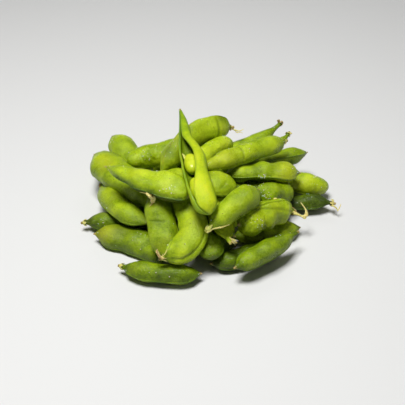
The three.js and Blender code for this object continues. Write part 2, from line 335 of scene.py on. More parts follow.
def ring_faces(rings, n):
    """Faces of a loft that joins its last ring to its first."""
    body = np.arange(rings * n).reshape(rings, n)
    after = np.roll(body, -1, axis=1)
    below, below_after = np.roll(body, -1, axis=0), np.roll(after, -1, axis=0)
    return np.stack([body, after, below_after, below], axis=-1).reshape(-1, 4).tolist()


def ring_normals(points, rings, n):
    """Normals at the points of rings, facing away from the line through them."""
    grid = points.reshape(rings, n, 3)
    around = np.roll(grid, -1, axis=1) - np.roll(grid, 1, axis=1)
    return unit(np.cross(around, np.gradient(grid, axis=0))).reshape(-1, 3)


# ---- Materials ----
def colour(picture_colour):
    """Red, green and blue from 0 to 255 as the linear colour that a shader takes."""
    linear = [((c / 255 + 0.055) / 1.055) ** 2.4 if c > 10 else c / 255 / 12.92 for c in picture_colour]
    return (*linear, 1)


class Nodes:
    """Short words for building one material's nodes."""

    def __init__(self, name):
        self.material = bpy.data.materials.new(name)
        self.material.use_nodes = True
        self.tree = self.material.node_tree
        self.shader = self.tree.nodes["Principled BSDF"]

    def add(self, kind, inputs=(), **settings):
        """A new node with these settings, and these inputs as pairs of a name or number and a value."""
        node = self.tree.nodes.new("ShaderNode" + kind)
        for key, value in settings.items():
            setattr(node, key, value)
        for key, value in inputs:
            self.feed(node.inputs[key], value)
        return node

    def feed(self, socket, value):
        if isinstance(value, bpy.types.NodeSocket):
            self.tree.links.new(value, socket)
        else:
            socket.default_value = value

    def stored(self, name, output="Fac"):
        return self.add("Attribute", attribute_name=name).outputs[output]

    def noise(self, where, scale, detail=2.0, rough=0.5):
        inputs = (("Vector", where), ("Scale", scale), ("Detail", detail), ("Roughness", rough))
        return self.add("TexNoise", inputs).outputs["Fac"]

    def cells(self, where, scale):
        return self.add("TexVoronoi", (("Vector", where), ("Scale", scale))).outputs["Distance"]

    def maths(self, operation, *values):
        return self.add("Math", enumerate(values), operation=operation).outputs[0]

    def span(self, value, low, high, to_low=0.0, to_high=1.0):
        ends = (("From Min", low), ("From Max", high), ("To Min", to_low), ("To Max", to_high))
        node = self.add("MapRange", (("Value", value), *ends), interpolation_type="SMOOTHSTEP")
        return node.outputs[0]

    def vary(self, value, pattern, amount):
        """The value with a pattern from 0 to 1 laid over it, as much up as down."""
        return self.maths("MULTIPLY_ADD", self.maths("SUBTRACT", pattern, 0.5), amount, value)

    def mix(self, share, a, b):
        node = self.add("Mix", (("Factor", share),), data_type="RGBA")
        a_socket, b_socket = [each for each in node.inputs if each.type == "RGBA"]
        self.feed(a_socket, a)
        self.feed(b_socket, b)
        return next(each for each in node.outputs if each.type == "RGBA")

    def tint(self, base, where, amount, picture_colour):
        """The base colour with another over it, by the amount where the mark is 1."""
        return self.mix(self.maths("MULTIPLY", where, amount), base, colour(picture_colour))

    def ramp(self, value, stops):
        """A colour ramp through stops of (place, picture colour)."""
        node = self.add("ValToRGB", ((0, value),))
        while len(node.color_ramp.elements) < len(stops):
            node.color_ramp.elements.new(0.5)
        for element, (place, shade) in zip(node.color_ramp.elements, stops):
            element.position = place
            element.color = colour(shade)
        return node.outputs[0]

    def bump(self, height, depth_mm, strength=1.0):
        inputs = (("Height", height), ("Distance", depth_mm * MM), ("Strength", strength))
        return self.add("Bump", inputs).outputs[0]

    def set(self, **values):
        for key, value in values.items():
            self.feed(self.shader.inputs[key.replace("_", " ")], value)


def wet_film(n, bump):
    """The soft, slightly see-through body and the thin film of water that all green parts have."""
    n.set(
        Normal=bump,
        Coat_Normal=bump,
        Subsurface_Weight=0.08,
        Subsurface_Radius=(1.0, 1.0, 0.2),
        Subsurface_Scale=0.0012,
        Specular_IOR_Level=0.2,
        Coat_Weight=0.2,
        Coat_Roughness=0.09,
    )


def brown_specks(n, where, size):
    """Where the few small brown marks lie, from 0 to 1."""
    chosen = n.span(n.noise(where, 0.5, 0.0), 0.52, 0.6)
    return n.maths("MULTIPLY", n.span(n.cells(where, 0.42), size, 0.4 * size), chosen)


# The browns and creams of a dried tip, calyx or stalk, as ramps over its grain.
DRY_BROWN = (
    (0.25, (104, 72, 34)),
    (0.42, (160, 126, 66)),
    (0.56, (204, 180, 118)),
    (0.75, (236, 222, 174)),
)
DRY_CREAM = (
    (0.25, (156, 124, 50)),
    (0.42, (208, 186, 96)),
    (0.56, (238, 226, 142)),
    (0.75, (250, 244, 186)),
)


def pod_skin():
    """A whole pod: mottled green, yellower where it yellows and where light is painted, darker in its
    seams, and darker with painted shade in its creases.
    """
    n = Nodes("pod_skin")
    where = n.stored("skin", "Vector")
    dry = n.stored("dry")
    patches = n.noise(where, 0.14)
    mottle = n.noise(where, 1.1, 4.0, 0.6)
    fine = n.noise(where, 3.6, 3.0, 0.6)
    # The tone brings painted shade and painted light as well as the pod's own tone.
    level = n.vary(n.stored("tone"), patches, 0.7)
    level = n.vary(level, mottle, 0.5)
    level = n.vary(level, fine, 0.2)
    green = n.ramp(
        level,
        (
            (0.0, (54, 72, 2)),
            (0.25, (99, 124, 4)),
            (0.5, (146, 171, 14)),
            (0.75, (184, 205, 32)),
            (1.0, (214, 222, 56)),
        ),
    )
    # The pod's own yellowing, and painted light at some of the marked places.
    green = n.tint(green, n.stored("glow"), 0.8, (196, 195, 46))
    green = n.tint(green, n.stored("seam"), 0.7, (66, 104, 18))
    # Painted shade in the creases.
    green = n.tint(green, n.stored("crease"), 0.6, (60, 84, 10))
    green = n.tint(green, brown_specks(n, where, 0.15), 0.85, (78, 62, 20))
    n.set(Base_Color=n.mix(dry, green, n.ramp(fine, DRY_BROWN)))
    rough = n.maths("MULTIPLY_ADD", n.stored("wet"), -0.24, n.span(mottle, 0.3, 0.7, 0.3, 0.46))
    n.set(Roughness=n.maths("MULTIPLY_ADD", dry, 0.3, rough))
    wet_film(n, n.bump(n.maths("MULTIPLY_ADD", fine, 0.5, mottle), 0.4, 1.0))
    return n.material


def dry_skin():
    """A calyx, a stalk or a shred: pale green when fresh, cream and then brown as it dries."""
    n = Nodes("dry_skin")
    where = n.stored("skin", "Vector")
    grain = n.noise(where, 2.2, 4.0, 0.65)
    fresh = n.ramp(grain, ((0.3, (162, 178, 50)), (0.7, (226, 226, 120))))
    dry = n.stored("dry")
    old = n.mix(n.span(dry, 1.0, 1.5), n.ramp(grain, DRY_CREAM), n.ramp(grain, DRY_BROWN))
    n.set(Base_Color=n.mix(dry, fresh, old))
    n.set(Roughness=n.span(grain, 0.2, 0.8, 0.5, 0.78))
    n.set(Normal=n.bump(grain, 0.3, 0.9), Sheen_Weight=0.15, Subsurface_Weight=0.12, Subsurface_Scale=0.001)
    return n.material


def shell_skin():
    """The split pod: bright outside, deeper green inside as painted shade, with a darker rim between."""
    n = Nodes("shell_skin")
    where = n.stored("skin", "Vector")
    inside = n.stored("inside")
    patches = n.noise(where, 0.16)
    mottle = n.noise(where, 1.2, 4.0, 0.6)
    fine = n.noise(where, 4.0, 3.0, 0.6)
    level = n.vary(n.stored("tone"), patches, 0.5)
    level = n.vary(level, mottle, 0.45)
    outer = n.ramp(
        level,
        (
            (0.0, (82, 118, 4)),
            (0.35, (146, 176, 10)),
            (0.6, (190, 208, 20)),
            (0.8, (212, 216, 34)),
            (1.0, (228, 220, 60)),
        ),
    )
    # The inside's darker greens are painted shade.
    inner = n.ramp(mottle, ((0.3, (92, 120, 8)), (0.7, (134, 160, 16))))
    skin = n.mix(inside, outer, inner)
    skin = n.tint(skin, n.stored("seam"), 0.65, (84, 128, 20))
    skin = n.tint(skin, brown_specks(n, where, 0.09), 0.6, (110, 92, 30))
    n.set(Base_Color=n.mix(n.stored("dry"), skin, n.ramp(fine, DRY_BROWN)))
    n.set(Roughness=n.span(mottle, 0.3, 0.7, 0.32, 0.46))
    wet_film(n, n.bump(n.maths("MULTIPLY_ADD", fine, 0.5, mottle), 0.4, 1.0))
    return n.material


def bean_skin():
    """A bean: smoother, wetter and more see-through than a pod, with a pale hilum."""
    n = Nodes("bean_skin")
    where = n.stored("skin", "Vector")
    mottle = n.noise(where, 0.5, 3.0, 0.55)
    fine = n.noise(where, 3.0, 3.0, 0.6)
    level = n.vary(n.stored("tone"), mottle, 0.6)
    green = n.ramp(
        level,
        ((0.1, (112, 144, 10)), (0.4, (152, 180, 16)), (0.65, (186, 202, 28)), (0.95, (212, 218, 56))),
    )
    n.set(Base_Color=n.mix(n.stored("hilum"), green, colour((190, 196, 62))))
    n.set(Roughness=n.span(fine, 0.3, 0.7, 0.34, 0.44))
    wet_film(n, n.bump(n.maths("MULTIPLY_ADD", fine, 0.3, mottle), 0.15, 0.7))
    n.set(Subsurface_Weight=0.3, Subsurface_Scale=0.0025, Coat_Weight=0.5, Coat_Roughness=0.05)
    return n.material


def salt_grain():
    """Cloudy white crystals."""
    n = Nodes("salt_grain")
    where = n.add("TexCoord").outputs["Object"]
    grain = n.noise(where, 2400.0)
    n.set(Base_Color=n.ramp(grain, ((0.3, (232, 234, 214)), (0.7, (255, 255, 250)))))
    n.set(Roughness=n.span(grain, 0.3, 0.7, 0.12, 0.3))
    n.set(Subsurface_Weight=0.4, Subsurface_Scale=0.0004)
    return n.material


# ---- The whole pods ----
# Rings along a pod's skin and points in each, on the outer pods and on those inside or behind the heap.
OUTER_STEPS = (120, 84)
CORE_STEPS = (76, 44)
SEAM_CROWDING = 0.22
TIP_CROWDING = 0.035
BEAN_SPAN = (0.12, 0.82)
BEAK_START = 0.955
SEAM_REACH = 0.5
SEAM_HEIGHT = 0.26
GROOVE_PLACE = 1.2
GROOVE_DEPTH = 0.12
SWELL_SIZE = 7.0
SWELL_HEIGHT = 0.34
PATTERN_SHIFT = 61.0
OUTER_PREFIXES = ("base", "lower", "upper", "top")
# The core pods that show in the dark gaps between the others; their darker tone is painted shade.
DEEP_PODS = tuple(f"core_pod_{k:02d}" for k in (7, 9, 12, 13, 14, 15, 16, 17, 19, 20))
DEEP_PAINTED_SHADE = -1.0

# tone: how light, below 0 for a darker pod, partly the pod's own tone and partly painted shade and painted
# light; relief: how far the beans stand out; lens and flat: how sharp the edges and how flat the faces are;
# twist: degrees that the seams are turned at the stalk and at the tip; wrinkle: how crumpled the skin is;
# leaf: the calyx's length in mm; dry: how dry the calyx is; seam: how high the seams stand; blunt: the
# share of the length that a round tip takes, or 0 for a pointed one.
# Marks lie along paths of (share of the length, degrees from the seam), each with its reach in mm:
# creases are (depth in mm, reach, *path), where a negative depth makes a bulge and a crease is also
# darkened with painted shade, and folds, the marks of yellowing and painted light, shade (painted shade)
# and wet are (strength, reach, *path).
LOOK = {
    "tone": 0.0,
    "relief": 0.16,
    "lens": 1.5,
    "flat": 2.9,
    "twist": (0, 0),
    "wrinkle": 0.25,
    "leaf": 2.2,
    "dry": 0.4,
    "seam": 1.0,
    "blunt": 0,
    "beans": 3,
    "creases": (),
    "folds": (),
    "glow": (),
    "shade": (),
    "wet": (),
}
LOOKS = {
    "base_pod_1": {
        "tone": -0.7,
        "glow": ((0.45, 6, (0.93, 110), (0.87, 100)),),
        "wet": ((1, 2, (0.48, 90)),),
    },
    "base_pod_2": {"tone": -1.1, "beans": 2},
    "base_pod_3": {"tone": -0.7, "beans": 2},
    "base_pod_4": {"tone": -0.65, "blunt": 0.15, "beans": 2},
    "base_pod_5": {"tone": -1.6},
    "base_pod_6": {"tone": -1.6, "leaf": 1.8, "dry": 0.8, "beans": 2},
    "base_pod_7": {"tone": 0.5, "blunt": 0.2, "beans": 2},
    "lower_pod_1": {"tone": -0.15, "beans": 2, "wet": ((1, 3, (0.59, 95), (0.64, 86)),)},
    "lower_pod_2": {"tone": -0.6, "leaf": 0},
    "lower_pod_3": {"tone": 1.0, "leaf": 0, "beans": 2},
    "lower_pod_4": {
        "tone": 0.45, "relief": 0.06, "leaf": 2.4, "dry": 0.9,
        "creases": (
            (0.4, 0.5, (0.82, -10), (0.736, -19), (0.5, -38), (0.264, -54), (0.14, -62)),
            (-2.2, 6, (0.92, -112), (0.6, -108)),
        ),
        "folds": ((0.8, 4.5, (0.86, -66), (0.75, -66)),),
        "wet": ((1, 4.5, (0.86, -66), (0.75, -66)),),
    },
    "lower_pod_5": {
        "tone": -0.35, "leaf": 0, "beans": 2,
        "creases": ((-0.7, 0.9, (0.08, 90), (0.143, 112), (0.2, 135), (0.25, 150)),),
        "folds": ((0.5, 3, (0.143, 112)),),
        "wet": ((1, 3, (0.143, 112), (0.2, 130)),),
    },
    "lower_pod_6": {"tone": 0.1, "beans": 2},
    "lower_pod_7": {"tone": -0.1, "leaf": 1.6, "dry": 0.1, "beans": 2},
    "lower_pod_8": {"tone": -0.25, "beans": 2},
    "upper_pod_1": {
        "creases": ((-3.2, 7, (0.6, 22), (0.76, 20)),),
        "glow": ((0.5, 4, (0.66, 80), (0.76, 88)),),
        "wet": ((1, 3, (0.7, 70), (0.78, 76)),),
    },
    "upper_pod_2": {
        "tone": -0.1, "leaf": 0, "beans": 2,
        "creases": (
            (0.55, 0.45, (0.455, 150), (0.47, 135), (0.5, 108), (0.53, 82)),
            (0.22, 0.5, (0.545, 115), (0.6, 95), (0.66, 84)),
            (-0.5, 4, (0.6, 140)),
        ),
        "shade": ((0.15, 6, (0.75, 90), (0.95, 90)),),
    },
    "upper_pod_3": {
        "tone": 0.25,
        "creases": (
            (0.4, 0.6, (0.22, 10), (0.15, 30), (0.08, 62)),
            (0.45, 0.6, (0.07, 100), (0.2, 134), (0.35, 146), (0.5, 150)),
            (-0.7, 1.7, (0.07, 125), (0.2, 158), (0.35, 170), (0.5, 172)),
        ),
    },
    "upper_pod_4": {
        "tone": 0.2, "blunt": 0.15, "beans": 2,
        "creases": ((0.35, 0.6, (0.66, 50), (0.7, 70), (0.72, 100)), (0.3, 0.6, (0.8, 60), (0.82, 90))),
        "folds": ((0.8, 6, (0.7, 86), (0.77, 92)),),
        "wet": ((1, 5, (0.72, 84), (0.78, 92)),),
    },
    "upper_pod_5": {"tone": -0.1, "leaf": 1.5, "dry": 1.5, "beans": 2},
    "upper_pod_6": {
        "relief": 0.2, "twist": (4, 30),
        "creases": ((-2.0, 7, (0.76, -172)),),
        "folds": ((0.4, 3, (0.475, 175)),),
        "glow": ((0.35, 6, (0.8, 90)), (0.4, 6, (0.75, 175))),
        "wet": ((1, 3, (0.44, 170), (0.51, 175)),),
    },
    "upper_pod_7": {
        "tone": 0.15, "blunt": 0.16, "beans": 2,
        "creases": (
            (0.3, 0.4, (0.8, 145), (0.835, 126), (0.86, 104)),
            (-1.5, 6, (0.8, 168)),
            (-1.2, 6, (0.8, 20)),
        ),
    },
    "upper_pod_8": {
        "tone": 0.9, "blunt": 0.2, "beans": 2,
        "folds": ((0.6, 6, (0.45, 110), (0.6, 114)),),
    },
    "top_pod_1": {
        "tone": 0.4, "relief": 0.04, "lens": 1.7, "flat": 4.0, "twist": (50, 22), "leaf": 0,
        "creases": ((-2.8, 5, (0.14, 128), (0.32, 128)),),
        "folds": ((0.5, 4, (0.16, 52), (0.2, 62)),),
        "shade": (
            (0.9, 3.2, (0.1, -36), (0.4, -34), (0.75, -30)),
            (0.25, 2.4, (0.1, 4), (0.4, 4), (0.75, 2)),
        ),
        "wet": ((1, 4, (0.16, 52), (0.2, 62)),),
    },
    "top_pod_2": {
        "tone": 0.3, "leaf": 3.2, "dry": 0.0, "beans": 2,
        "creases": ((0.8, 5, (0.52, 164), (0.66, 158)),),
        "folds": ((0.35, 3, (0.68, 44), (0.78, 50)),),
        "shade": ((0.2, 4, (0.72, 60), (0.86, 90)),),
        "wet": ((1, 3, (0.68, 44), (0.78, 50)),),
    },
    "top_pod_3": {
        "tone": 0.3, "blunt": 0.12,
        "creases": ((0.5, 0.5, (0.6, 165), (0.604, 130), (0.605, 96), (0.615, 54)),),
        "glow": ((0.45, 8, (0.8, 110), (0.9, 110)),),
    },
    "top_pod_4": {
        "tone": 0.85, "relief": 0.26, "twist": (-10, -9), "wrinkle": 0.08, "leaf": 1.6, "dry": 1.0,
        "seam": 0.35,
        "creases": (
            (0.45, 1.0, (0.225, 150), (0.238, 114), (0.245, 70), (0.25, 30)),
            (0.6, 2.0, (0.25, 60), (0.255, 20)),
            (-1.0, 5.0, (0.4, 60)),
            (1.0, 5.0, (0.15, 155)),
            (-1.0, 4.0, (0.13, 75)),
            (1.2, 6.0, (0.8, 174)),
            (-0.9, 6.0, (0.38, 170)),
        ),
        "glow": ((0.8, 1.2, (0.45, -176), (0.65, 178), (0.9, 172)),),
        "shade": ((0.2, 9, (0.55, 140), (0.75, 130)),),
    },
}


def around_angles(n):
    """Angles about the pod, closer together near the two seams."""
    even = np.arange(n) * 2 * math.pi / n
    return even - SEAM_CROWDING * np.sin(2 * even)


def bean_bumps(u, side, beans):
    """1 over each bean and 0 between them. side is the share of the way from seam to seam, -1 to 1."""
    first, span = BEAN_SPAN
    pitch = span / beans
    total = np.zeros(len(u))
    for k in range(beans):
        reach = ((u - first - pitch * (k + 0.5)) / (0.42 * pitch)) ** 2 + (side / 0.74) ** 2
        total += np.exp(-(reach**1.5))
    return np.clip(total, 0, 1)


def body_share(line, u):
    """0 on the thin stalk and tip of a pod and 1 on its body."""
    return smooth_step(1.6, 3.4, read(line.depth, u))


def form(line, look, u, theta):
    """Points of the pod's smooth body, without seams or wrinkles."""
    width, depth = read(line.width, u), read(line.depth, u)
    point = 0 if look["blunt"] else 0.45
    slim = 1 - point * smooth_step(BEAK_START, 1.0, u) - 0.35 * smooth_step(0.06, 0.025, u)
    body = body_share(line, u)
    side = np.cos(theta)
    lens = 1 + (look["lens"] - 1) * body
    flat = 2 + (look["flat"] - 2) * body
    rise = np.sign(np.sin(theta)) * np.clip(1 - np.abs(side) ** flat, 0, 1) ** (lens / 2)
    rise = rise * (1 - look["relief"] * body * (1 - bean_bumps(u, side, look["beans"])))
    turn = np.radians(np.interp(u, (0, 1), look["twist"]))[:, None]
    across, through = read(line.across, u), read(line.through, u)
    to_seam = np.cos(turn) * across + np.sin(turn) * through
    to_face = np.cos(turn) * through - np.sin(turn) * across
    spread = to_seam * (side * width * slim)[:, None]
    return read(line.centre, u) + spread + to_face * (rise * depth * slim)[:, None]


def distance_to(line, u, theta, path):
    """How far, in mm over the skin, each place is from a path of (share of the length, degrees) points."""
    girth = (read(line.width, u) + read(line.depth, u)) / 2
    ends = []
    for place, degrees in path:
        turn = wrapped(math.radians(degrees) - theta)
        ends.append(np.stack([(place - u) * line.length, turn * girth], axis=1))
    nearest = np.full(len(u), 1e9)
    for a, b in zip(ends, ends[1:] or ends):
        step = b - a
        share = np.clip(-(a * step).sum(axis=1) / np.maximum((step**2).sum(axis=1), 1e-9), 0, 1)
        nearest = np.minimum(nearest, np.linalg.norm(a + step * share[:, None], axis=1))
    return nearest


def marked(line, u, theta, marks):
    """How strongly a look's marks of one kind show at each place."""
    total = np.zeros(len(u))
    for strength, reach, *path in marks:
        total += strength * fading(distance_to(line, u, theta, path), reach)
    return total


def seams(line, u, theta):
    """How strongly the two raised seams and the grooves beside them show, from 0 to 1."""
    width, depth = read(line.width, u), read(line.depth, u)
    from_seam = np.hypot(width * (1 - np.abs(np.cos(theta))), depth * np.sin(theta))
    return fading(from_seam, SEAM_REACH), fading(from_seam - GROOVE_PLACE, SEAM_REACH)


def crumples(look, pattern, folds):
    """How far the skin rises, in mm, in wrinkles all over it and in the rumples of its folds."""
    wrinkles = 1 - np.abs(layered(pattern * (0.42, 0.2, 0.2), 2, 9))
    rumples = 1 - np.abs(layered(pattern * (0.62, 0.36, 0.36), 2, 14))
    patchy = smooth_step(-0.1, 0.5, noise(pattern / 9.0, 21))
    return look["wrinkle"] * patchy * (0.6 * wrinkles**3 - 0.18) + folds * (0.8 * rumples**3 - 0.25)


def creases(line, look, u, theta):
    """How far creases drop and bulges rise, in mm, and how much painted shade darkens the creases, from 0
    to 1.
    """
    drops, painted_shade = [], np.zeros(len(u))
    for drop, reach, *path in look["creases"]:
        near = fading(distance_to(line, u, theta, path), reach)
        drops.append(drop * near)
        if drop > 0:
            painted_shade = np.maximum(painted_shade, near * min(1, 1.6 * drop))
    return drops, painted_shade


def add_pod(node, look, steps, seed, material):
    """The pod's skin. Gives its line and its outer places, points and normals."""
    line = Line(node)
    if look["blunt"]:
        line.round_tip(look["blunt"])
    rows, columns = steps
    t = np.linspace(0, 1, rows + 2)[1:-1]
    u = np.repeat(t - TIP_CROWDING * np.sin(2 * math.pi * t), columns)
    theta = np.tile(around_angles(columns), rows)
    base = form(line, look, u, theta)
    normal = ring_normals(base, rows, columns)
    body = body_share(line, u)

    # The pod as if laid straight, in mm, shifted so that no two pods have the same pattern.
    width, depth = read(line.width, u), read(line.depth, u)
    straight = np.stack([u * line.length, width * np.cos(theta), depth * np.sin(theta)], axis=1)
    pattern = straight + PATTERN_SHIFT * seed

    ridge, groove = seams(line, u, theta)
    swell = SWELL_HEIGHT * layered(pattern / SWELL_SIZE, 2, 3)
    dents = 0.05 * noise(pattern / 1.1, 33) + 0.035 * noise(pattern / 0.6, 34)
    lift = look["seam"] * (SEAM_HEIGHT * ridge - GROOVE_DEPTH * groove) + swell
    lift = lift + crumples(look, pattern, marked(line, u, theta, look["folds"])) + dents
    drops, crease = creases(line, look, u, theta)
    for drop in drops:
        lift -= drop
    points = base + normal * (lift * (0.15 + 0.85 * body))[:, None]

    over_bean = bean_bumps(u, np.cos(theta), look["beans"])
    # The tone: the pod's own, lighter over the beans and darker at the thin ends, with painted shade and
    # painted light in the per-pod values.
    tone = 0.5 + 0.26 * look["tone"] + 0.12 * (over_bean - 0.5) - 0.12 * (1 - body)
    # Painted shade along the shade marks.
    tone -= marked(line, u, theta, look["shade"])
    # Yellowing in random patches, and yellowing and painted light at the marks.
    glow = 0.18 * smooth_step(0.2, 0.8, noise(pattern / 11.0, 40)) + marked(line, u, theta, look["glow"])
    wet = 0.5 * smooth_step(0.2, 0.6, noise(pattern / 5.0, 71)) + marked(line, u, theta, look["wet"])
    tip = smooth_step(BEAK_START, 0.995, u) * (look["blunt"] == 0)
    stalk = smooth_step(0.05, 0.02, u) * (0.4 + 0.6 * look["dry"])
    add_loft(
        f"{node}_skin", node, "pod", steps, points, (line.centre[0], line.centre[-1]), material,
        skin=pattern,
        tone=tone,
        seam=ridge * body * look["seam"],
        crease=crease,
        glow=np.clip(glow, 0, 1),
        wet=np.clip(wet, 0, 1),
        dry=np.clip(0.95 * tip + stalk, 0, 1),
    )
    return line, u, theta, points, normal


# ---- Calyxes, stalks and other dry pieces ----
CALYX_STEPS = (9, 50)
CALYX_START = 0.03
CALYX_SHIFT = 31.0
LEAF_THICKNESS = 0.24
STRAND_STEPS = (40, 12)
STRING_STEPS = (80, 12)
STRAND_SHIFT = 17.0


def add_calyx(node, line, look, seed, material):
    """The five-pointed cup that is left around a pod's neck: one closed thin leaf."""
    rows, columns = CALYX_STEPS
    s = np.repeat(np.linspace(0, 1, rows), columns)
    theta = np.tile(ring_angles(columns), rows)
    lobe = 0.42 + 0.58 * (0.5 + 0.5 * np.cos(5 * theta + 1.7 * seed)) ** 0.8
    lobe = lobe * (1 + 0.22 * np.sin(theta * 2 + seed))
    length = look["leaf"] / line.length
    u = CALYX_START + s * lobe * length
    base = form(line, look, u, theta)
    normal = ring_normals(base, rows, columns)
    pattern = base + CALYX_SHIFT * seed
    curl = s**2 * (0.25 + 0.75 * look["dry"] * smooth_step(-0.4, 0.8, noise(pattern / 2.0, 5)))
    rise = 0.3 + curl + 0.12 * noise(pattern / 0.9, 6)
    sheet = LEAF_THICKNESS * (1 - 0.6 * s)
    sides = [base + normal * (rise + half)[:, None] for half in (sheet / 2, -sheet / 2)]
    outer, inner = (side.reshape(rows, columns, 3) for side in sides)
    points = np.concatenate([outer, inner[::-1]]).reshape(-1, 3)
    piece = add_piece(f"{node}_calyx", points, ring_faces(2 * rows, columns), material)
    dry = np.clip(look["dry"] + 0.4 * s**2 + 0.3 * noise(pattern / 1.5, 8), 0, 1.5).reshape(rows, columns)
    dry = np.concatenate([dry, dry[::-1]]).reshape(-1)
    store(piece, skin=points + CALYX_SHIFT * seed, dry=dry)
    place_piece(piece, node)


def in_view(right, up, near):
    """A step in mm to the right, up and nearer in the photograph's view."""
    tilt = math.sin(ELEVATION), math.cos(ELEVATION)
    return np.array([right, up * tilt[0] - near * tilt[1], up * tilt[1] + near * tilt[0]])


def add_strand(name, node, path, radii, seed, dry, material, flat=0.6, steps=STRAND_STEPS):
    """A closed, slightly crooked strand through the points of path, in mm, such as a dry stalk."""
    path, radii = np.asarray(path, float), np.asarray(radii, float)
    rows, columns = steps
    knots = np.linspace(0, 1, len(path))
    t = np.linspace(0, 1, rows)
    centre = curve_through(knots, path, t)
    radius = curve_through(knots, radii, t)
    along = unit(np.gradient(centre, axis=0))
    side = unit(np.cross(along, (0.31, 0.2, 0.93)))
    top = np.cross(along, side)
    angle = ring_angles(columns)
    ring = np.cos(angle)[:, None] * side[:, None] + flat * np.sin(angle)[:, None] * top[:, None]
    where = (centre[:, None] + ring * radius[:, None, None]).reshape(-1, 3) + STRAND_SHIFT * seed
    rough = 1 + 0.28 * noise(where / 0.9, 3) + 0.14 * noise(where / 0.4, 4)
    points = centre[:, None] + ring * (radius[:, None] * rough.reshape(rows, columns))[..., None]
    points = np.vstack([centre[0], points.reshape(-1, 3), centre[-1]])
    piece = add_piece(name, points, tube_faces(rows, columns), material)
    store(piece, skin=points + STRAND_SHIFT * seed, dry=np.full(len(points), dry))
    place_piece(piece, node)


# Dry strands that the photograph shows. For each pod: where they start on it, (share of the length,
# degrees), and each strand's dryness and its knots, (right, up, nearer, radius) in mm from that start.
STRANDS = {
    "upper_pod_2": (
        (0.23, 108),
        (0.7, (-6.2, 4.6, 3, 0.3), (-4.2, 4.2, 4, 0.4), (-2.0, 3.7, 5.2, 0.6), (0.2, 3.2, 5.6, 0.8)),
        (1.0, (-2.8, 4.4, 5.8, 0.4), (-1.4, 2.8, 6.0, 1.3), (-0.2, 1.2, 3.8, 1.1), (-0.8, -0.6, 1.2, 0.25)),
        (1.0, (0.6, 4.0, 6.0, 0.5), (1.0, 1.8, 4.4, 1.1), (0.2, -0.6, 1.8, 0.9), (-1.6, -2.8, 0.8, 0.2)),
        (1.0, (0.2, 3.6, 6.2, 0.4), (1.8, 3.6, 6.0, 0.7), (2.4, 2.2, 5.4, 0.2)),
    ),
    "lower_pod_4": (
        (0.0, 0),
        (0.8, (-2.6, -0.8, 1.6, 1.3), (-0.4, -2.0, 2.0, 1.3), (2.0, -3.0, 1.8, 0.7)),
        (1.0,
            (0.6, -2.4, 1.8, 0.7), (2.8, -3.4, 1.6, 0.9), (4.6, -3.2, 1.4, 1.2), (5.3, -1.6, 1.2, 1.15),
            (4.6, 0.6, 1.0, 0.6), (3.4, 2.4, 0.8, 0.5), (2.2, 4.2, 0.6, 0.25),
        ),
        (1.0, (2.4, -3.4, 1.8, 0.4), (4.2, -4.4, 1.7, 0.8), (5.2, -4.0, 1.4, 0.2)),
    ),
    "base_pod_6": (
        (0.0, 0),
        (0.7, (-2.2, -0.2, 0.5, 0.8), (-0.6, -1.0, 0.6, 0.7), (0.6, -2.2, 0.6, 0.5), (1.2, -3.6, 0.5, 0.3)),
        (1.0, (1.0, -3.4, 0.6, 0.25), (1.8, -2.2, 0.6, 0.3), (2.6, -0.4, 0.4, 0.25), (2.9, 0.6, 0.2, 0.15)),
    ),
    "upper_pod_3": (
        (0.0, 0),
        (1.5, (-0.2, 4.6, 1.4, 0.2), (-0.4, 3.2, 1.8, 0.6), (0.4, 1.2, 1.6, 0.6), (1.8, -0.4, 1.0, 0.3)),
        (1.3, (0.4, 3.6, 1.8, 0.15), (0.9, 2.0, 2.6, 0.35), (2.4, 0.2, 2.8, 0.4), (4.6, 0.2, 2.8, 0.12)),
        (0.9, (1.6, 0.6, 2.6, 0.25), (3.6, 2.2, 3.0, 0.25), (4.8, 4.6, 3.2, 0.1)),
    ),
    "lower_pod_5": (
        (0.255, 145),
        (0.8, (-1.4, 0.5, 0.2, 0.6), (0.0, 0.2, 0.6, 1.1), (1.3, -0.4, 0.5, 1.0), (1.9, -1.2, 0.3, 0.4)),
    ),
    "lower_pod_3": (
        (0.079, 126),
        (0.9, (-0.8, 0.4, 0.3, 0.5), (1.4, -1.2, 0.6, 0.45), (3.2, -2.6, 0.6, 0.15)),
        (1.0, (-0.6, -0.8, 0.3, 0.5), (1.2, -2.2, 0.6, 0.4), (2.4, -3.2, 0.6, 0.12)),
        (0.9, (0.0, -0.2, 0.4, 0.4), (1.8, -0.8, 0.8, 0.35), (3.0, -1.4, 0.9, 0.12)),
    ),
    "lower_pod_7": (
        (0.0, 0),
        (1.0, (-1.2, -1.2, 0.4, 0.5), (-0.2, -0.9, 0.5, 0.9), (0.8, -1.2, 0.4, 0.4)),
    ),
    "top_pod_4": (
        (0.0, 0),
        (1.0,
            (-1.4, -0.2, 0.5, 0.6), (0.8, -1.0, 0.6, 0.7), (2.8, -1.5, 0.4, 0.5), (4.6, -1.0, 0.3, 0.35),
            (5.6, -0.3, 0.2, 0.15),
        ),
        (1.0, (0.2, -0.9, 0.6, 0.35), (1.8, -2.4, 0.6, 0.4), (3.8, -2.2, 0.5, 0.3), (5.2, -2.8, 0.4, 0.12)),
    ),
}
# The string that hangs on a seam: its pod, degrees, places along it and radii.
SEAM_STRING = ("top_pod_2", 172, (0.015, 0.06, 0.12, 0.19, 0.25, 0.31), (0.5, 0.55, 0.4, 0.5, 0.35, 0.15))


